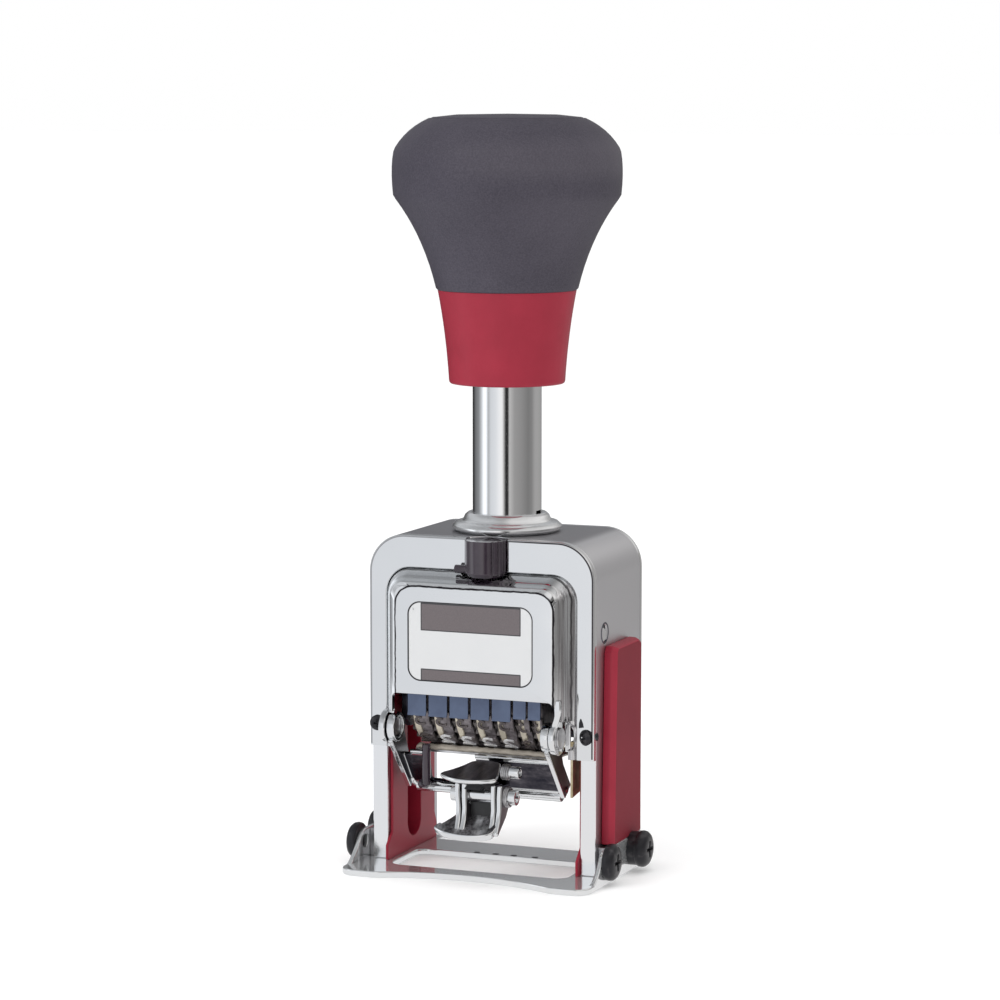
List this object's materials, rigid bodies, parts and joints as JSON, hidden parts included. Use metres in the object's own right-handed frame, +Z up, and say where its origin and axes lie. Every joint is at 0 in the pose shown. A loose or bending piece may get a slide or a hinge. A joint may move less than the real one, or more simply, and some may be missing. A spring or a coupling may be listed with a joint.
{
  "type": "desk numbering machine",
  "caption": "Desk numbering machine: a knob pushes a block of type wheels down through an arched frame while an inker swings clear.",
  "frame": {"origin": "where the plunger's axis meets the underside of the base", "axes": "+Z up along the plunger, -Y towards the front with the label, +X to the right seen from the front"},
  "size_m": [0.0712, 0.0577, 0.1761],
  "materials": {
    "mirror_chrome": "polished",
    "satin_chrome": "satin",
    "steel": "satin",
    "spring_steel": "satin",
    "blued_steel": "blued",
    "black_steel": "gloss",
    "red_plastic": "satin",
    "black_plastic": "matte",
    "grip_rubber": "fine texture",
    "brass": "satin",
    "felt": "felt",
    "label": "satin",
    "type_metal": "blackened"
  },
  "bodies": {
    "frame": {"frame_body": "satin_chrome", "front_plate": "mirror_chrome", "front_cover": "mirror_chrome", "label_plate": "label", "cover_screws": "black_steel", "back_plate": "mirror_chrome", "back_panel": "satin_chrome", "base_plate": "mirror_chrome", "foot_screws": "black_steel", "side_cover_left": "red_plastic", "side_cover_right": "red_plastic", "guide_rail_left": "red_plastic", "guide_rail_right": "red_plastic", "collar_nut": "mirror_chrome", "cover_rod": "steel", "spring_bar": "steel", "cam_rail": "brass", "ear_rivets": "steel"},
    "lock": {"lock_knob": "black_steel"},
    "plunger": {"plunger_tube": "mirror_chrome", "tube_plug": "steel", "handle_base": "red_plastic", "grip_core": "black_plastic", "handle_grip": "grip_rubber", "handle_cap": "grip_rubber", "main_spring": "spring_steel", "block_frame": "steel", "block_back": "steel", "wheel_shaft": "steel", "leaf_bar": "black_steel", "leaf_springs": "blued_steel", "guide_studs": "brass", "pawl_shaft": "steel"},
    "wheel_1": {"number_wheel_1": "type_metal"},
    "wheel_2": {"number_wheel_2": "type_metal"},
    "wheel_3": {"number_wheel_3": "type_metal"},
    "wheel_4": {"number_wheel_4": "type_metal"},
    "wheel_5": {"number_wheel_5": "type_metal"},
    "wheel_6": {"number_wheel_6": "type_metal"},
    "wheel_7": {"number_wheel_7": "type_metal"},
    "pawls": {"pawl_comb": "steel"},
    "dial": {"repeat_dial": "black_plastic"},
    "inker": {"inker_bail": "mirror_chrome", "pad_tray": "steel", "felt_pad": "felt", "pad_catch": "black_steel", "finger_tab": "mirror_chrome", "lever_bracket": "black_steel", "lever_pin": "mirror_chrome", "lever_spring": "spring_steel"},
    "lever": {"finger_lever": "mirror_chrome"}
  },
  "joints": [
    {"name": "plunger_slide", "type": "slide", "parent": "frame", "child": "plunger", "axis": [0, 0, -1], "range_m": [0, 0.0282], "stiffness_N_per_m": 250, "springref_m": -0.016, "deforming": ["main_spring"]},
    {"name": "inker_swing", "type": "hinge", "parent": "frame", "child": "inker", "pos_m": [0, -0.019, 0.0341], "axis": [-1, 0, 0], "range_deg": [0, 114.2]},
    {"name": "lever_pinch", "type": "hinge", "parent": "inker", "child": "lever", "pos_m": [0.00175, -0.023, 0.0203], "axis": [-1, 0, 0], "range_deg": [0, 10], "stiffness_Nm_per_rad": 0.02, "springref_deg": -5.73},
    {"name": "pawl_swing", "type": "hinge", "parent": "plunger", "child": "pawls", "pos_m": [0, 0.008, 0.0395], "axis": [1, 0, 0], "range_deg": [0, 15]},
    {"name": "dial_turn", "type": "hinge", "parent": "plunger", "child": "dial", "pos_m": [0, 0.012, 0.0435], "axis": [0, 1, 0], "range_deg": [0, 270]},
    {"name": "lock_turn", "type": "hinge", "parent": "frame", "child": "lock", "pos_m": [0.0016, -0.017, 0.075], "axis": [0, 0, 1], "range_deg": [0, 80]},
    {"name": "wheel_1_turn", "type": "hinge", "parent": "plunger", "child": "wheel_1", "pos_m": [0, -0.008, 0.0395], "axis": [1, 0, 0], "continuous": true},
    {"name": "wheel_2_turn", "type": "hinge", "parent": "plunger", "child": "wheel_2", "pos_m": [0, -0.008, 0.0395], "axis": [1, 0, 0], "continuous": true},
    {"name": "wheel_3_turn", "type": "hinge", "parent": "plunger", "child": "wheel_3", "pos_m": [0, -0.008, 0.0395], "axis": [1, 0, 0], "continuous": true},
    {"name": "wheel_4_turn", "type": "hinge", "parent": "plunger", "child": "wheel_4", "pos_m": [0, -0.008, 0.0395], "axis": [1, 0, 0], "continuous": true},
    {"name": "wheel_5_turn", "type": "hinge", "parent": "plunger", "child": "wheel_5", "pos_m": [0, -0.008, 0.0395], "axis": [1, 0, 0], "continuous": true},
    {"name": "wheel_6_turn", "type": "hinge", "parent": "plunger", "child": "wheel_6", "pos_m": [0, -0.008, 0.0395], "axis": [1, 0, 0], "continuous": true},
    {"name": "wheel_7_turn", "type": "hinge", "parent": "plunger", "child": "wheel_7", "pos_m": [0, -0.008, 0.0395], "axis": [1, 0, 0], "continuous": true}
  ],
  "couplings": [
    {"joint": "inker_swing", "follows": "plunger_slide", "rad_per_m": 70.5},
    {"joint": "pawl_swing", "follows": "plunger_slide", "rad_per_m": 8.6}
  ]
}
